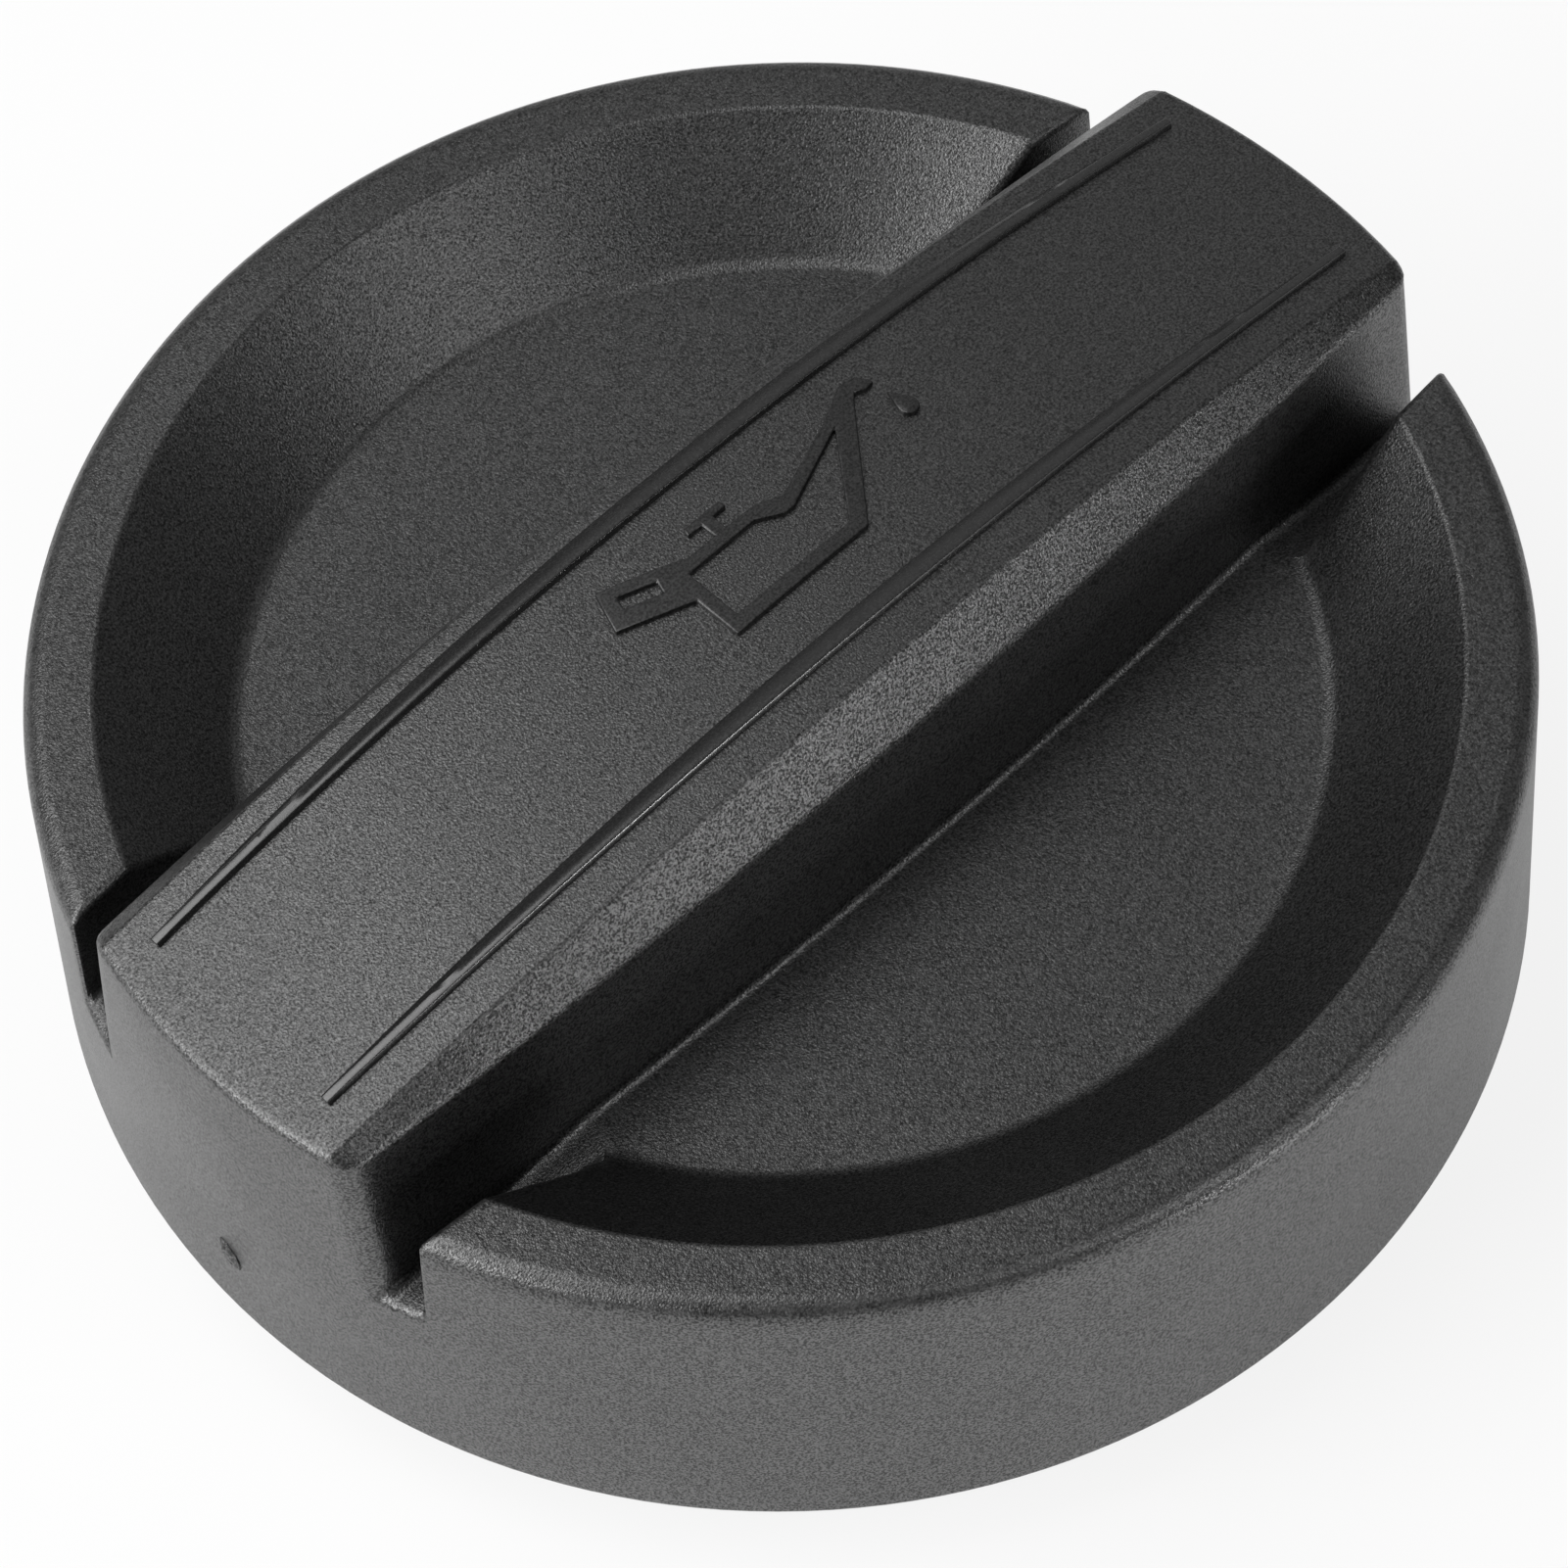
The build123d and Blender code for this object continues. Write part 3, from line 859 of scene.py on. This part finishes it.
def moulding():
    """The whole cap body: the rounded outside, hollowed from below, with neck, lugs and gussets."""
    body = rounded(outer_skin(), "moulded_cap")
    low, top, high = SKIRT_Z - OVERLAP, RIM_Z - PLATE, RIM_Z + BAR_TOP[0]
    edge, bore_r = seat_edge_r(), NECK_R - NECK_WALL

    # The hollow under the plate, less what stands in it
    under_plate = [(0, low), (0, SEAT_Z), (edge, SEAT_Z), (inside_r(top), top), (inside_r(low), low)]
    hollow = turned("hollow", under_plate)
    for side in (1, -1):
        combine(hollow, trough(side), "DIFFERENCE")
    for group in gussets():
        combine(hollow, group, "DIFFERENCE")
    neck_form = [
        (0, low - OVERLAP), (PILOT_R, low - OVERLAP), (PILOT_R, LUG_LOW_Z),
        (NECK_R, LUG_LOW_Z), (NECK_R, FLOOR_Z), (0, FLOOR_Z),
    ]
    combine(hollow, turned("neck_form", neck_form), "DIFFERENCE")
    combine(hollow, lugs(), "DIFFERENCE")
    combine(body, hollow, "DIFFERENCE")

    # The lower end of the neck, its bore, and the hollow inside the bar
    pilot = [
        (0, 0), (PILOT_R - PILOT_LEAD_IN, 0), (PILOT_R, PILOT_LEAD_IN),
        (PILOT_R, PILOT_TOP_Z), (0, PILOT_TOP_Z),
    ]
    combine(body, turned("pilot", pilot), "UNION")
    bore = [(0, -OVERLAP), (bore_r, -OVERLAP), (bore_r, SEAT_Z), (0, SEAT_Z)]
    combine(body, turned("bore", bore), "DIFFERENCE")
    within_neck = [(0, SKIRT_Z), (bore_r, SKIRT_Z), (bore_r, high), (0, high)]
    within_skirt = [(edge, SKIRT_Z), (inside_r(SKIRT_Z), SKIRT_Z), (inside_r(high), high), (edge, high)]
    for name, limits in (("within_neck", within_neck), ("within_skirt", within_skirt)):
        core = bar_core()
        combine(core, turned(name, limits), "INTERSECT")
        combine(body, core, "DIFFERENCE")

    for raised in (raised_lines, oil_can, gate_stub):
        combine(body, raised(), "UNION")
    return body


def finish_surface(thing):
    """Smooth shading between faces of one finish that meet at a small angle, with broad faces kept flat."""
    def part_finishes(shape):
        for edge in shape.edges:
            if len({face.material_index for face in edge.link_faces}) > 1:
                edge.smooth = False

    thing.data.polygons.foreach_set("use_smooth", [True] * len(thing.data.polygons))
    thing.data.set_sharp_from_angle(angle=radians(SMOOTH_ANGLE))
    edit_mesh(thing.data, part_finishes)
    weighted = thing.modifiers.new("flat faces stay flat", "WEIGHTED_NORMAL")
    weighted.keep_sharp = True
    apply_modifiers(thing)


def mark_worn_edges(thing):
    """Stores how sharply the surface turns outwards at each point, for the wear along edges."""
    shape = bmesh.new()
    shape.from_mesh(thing.data)
    wear = []
    for point in shape.verts:
        turn = max(edge.calc_face_angle_signed(0.0) for edge in point.link_edges)
        share = (turn - radians(WEAR_FROM)) / radians(WEAR_FULL - WEAR_FROM)
        wear.append(min(1.0, max(0.0, share)))
    shape.free()
    layer = thing.data.attributes.new("worn_edge", "FLOAT", "POINT")
    layer.data.foreach_set("value", wear)


def mark_steep_faces(thing):
    """Stores how steeply each face stands, for the gloss of the grain."""
    layer = thing.data.attributes.new("steep_face", "FLOAT", "FACE")
    layer.data.foreach_set("value", [1.0 - abs(face.normal.z) for face in thing.data.polygons])


def place_camera():
    """Camera at its place, with its heading, the angle it looks down at, and its roll."""
    heading, elevation, roll = radians(HEADING), radians(ELEVATION), radians(ROLL)
    eye = Vector(EYE) * MM
    forward = Vector((sin(heading) * cos(elevation), cos(heading) * cos(elevation), -sin(elevation)))
    level = Vector((cos(heading), -sin(heading), 0))
    down = forward.cross(level)
    right = level * cos(roll) + down * sin(roll)
    up = level * sin(roll) - down * cos(roll)
    lens = bpy.data.cameras.new("camera")
    lens.lens, lens.sensor_width = LENS, SENSOR
    camera = bpy.data.objects.new("camera", lens)
    camera.matrix_world = Matrix((
        (right.x, up.x, -forward.x, eye.x),
        (right.y, up.y, -forward.y, eye.y),
        (right.z, up.z, -forward.z, eye.z),
        (0, 0, 0, 1),
    ))
    bpy.context.scene.collection.objects.link(camera)
    bpy.context.scene.camera = camera


def white_share(tree, seen, mirrored):
    """How white a surface looks to the camera and in mirrors and glass, whatever light falls on it."""
    path = add(tree, "ShaderNodeLightPath").outputs
    either = sums(tree, "MAXIMUM", path["Is Glossy Ray"], path["Is Transmission Ray"])
    to_camera = sums(tree, "MULTIPLY", path["Is Camera Ray"], seen)
    return sums(tree, "MAXIMUM", to_camera, sums(tree, "MULTIPLY", either, mirrored))


def white_floor():
    """White surface that shows its shadow, and looks nearly white under any light."""
    bpy.ops.mesh.primitive_plane_add(size=FLOOR_SIZE)
    plane = bpy.context.object
    plane.name = "floor"
    paper = bpy.data.materials.new("white_surface")
    paper.use_nodes = True
    tree = paper.node_tree
    tree.nodes.clear()
    share = white_share(tree, FLOOR_GLOW, FLOOR_SHEEN)
    lit = add(tree, "ShaderNodeBsdfDiffuse", {"Color": (FLOOR_WHITE, FLOOR_WHITE, FLOOR_WHITE, 1)})
    bare = add(tree, "ShaderNodeEmission", {"Color": (1, 1, 1, 1), "Strength": 1.0})
    surface = add(tree, "ShaderNodeMixShader", {0: share, 1: lit.outputs[0], 2: bare.outputs[0]})
    add(tree, "ShaderNodeOutputMaterial", {"Surface": surface.outputs[0]})
    plane.data.materials.append(paper)
    return plane


def studio_world():
    """Dim even light from the room, which the camera sees as white."""
    world = bpy.data.worlds.new("studio")
    bpy.context.scene.world = world
    world.use_nodes = True
    tree = world.node_tree
    tree.nodes.clear()
    share = white_share(tree, ROOM_GLOW, ROOM_SHEEN)
    room = add(tree, "ShaderNodeBackground", {"Color": (1, 1, 1, 1), "Strength": ROOM_LIGHT})
    white = add(tree, "ShaderNodeBackground", {"Color": (1, 1, 1, 1), "Strength": 1.0})
    surface = add(tree, "ShaderNodeMixShader", {0: share, 1: room.outputs[0], 2: white.outputs[0]})
    add(tree, "ShaderNodeOutputWorld", {"Surface": surface.outputs[0]})


def soft_lamp(name, heading, height, distance, size, brightness):
    """Soft lamp aimed at the cap, whose face is as bright as a white surface when its brightness is 1."""
    turn, rise = radians(heading), radians(height)
    way = Vector((sin(turn) * cos(rise), cos(turn) * cos(rise), sin(rise)))
    light = bpy.data.lights.new(name, "AREA")
    light.shape = "ELLIPSE"
    light.size, light.size_y = size
    light.energy = brightness * pi * size[0] * size[1] * pi / 4
    lamp = bpy.data.objects.new(name, light)
    lamp.location = Vector((0, 0, RIM_Z * MM)) + way * distance
    lamp.rotation_euler = way.to_track_quat("Z", "Y").to_euler()
    bpy.context.scene.collection.objects.link(lamp)


body = moulding()
finish_surface(body)
mark_worn_edges(body)
mark_steep_faces(body)
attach(body, "root")
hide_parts("cap_body")

ring = sealing_ring()
finish_surface(ring)
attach(ring, "root")
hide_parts("sealing_ring")

place_camera()
floor = white_floor()
studio_world()
for lamp in LAMPS:
    soft_lamp(*lamp)
bpy.context.scene.view_settings.view_transform = "Standard"
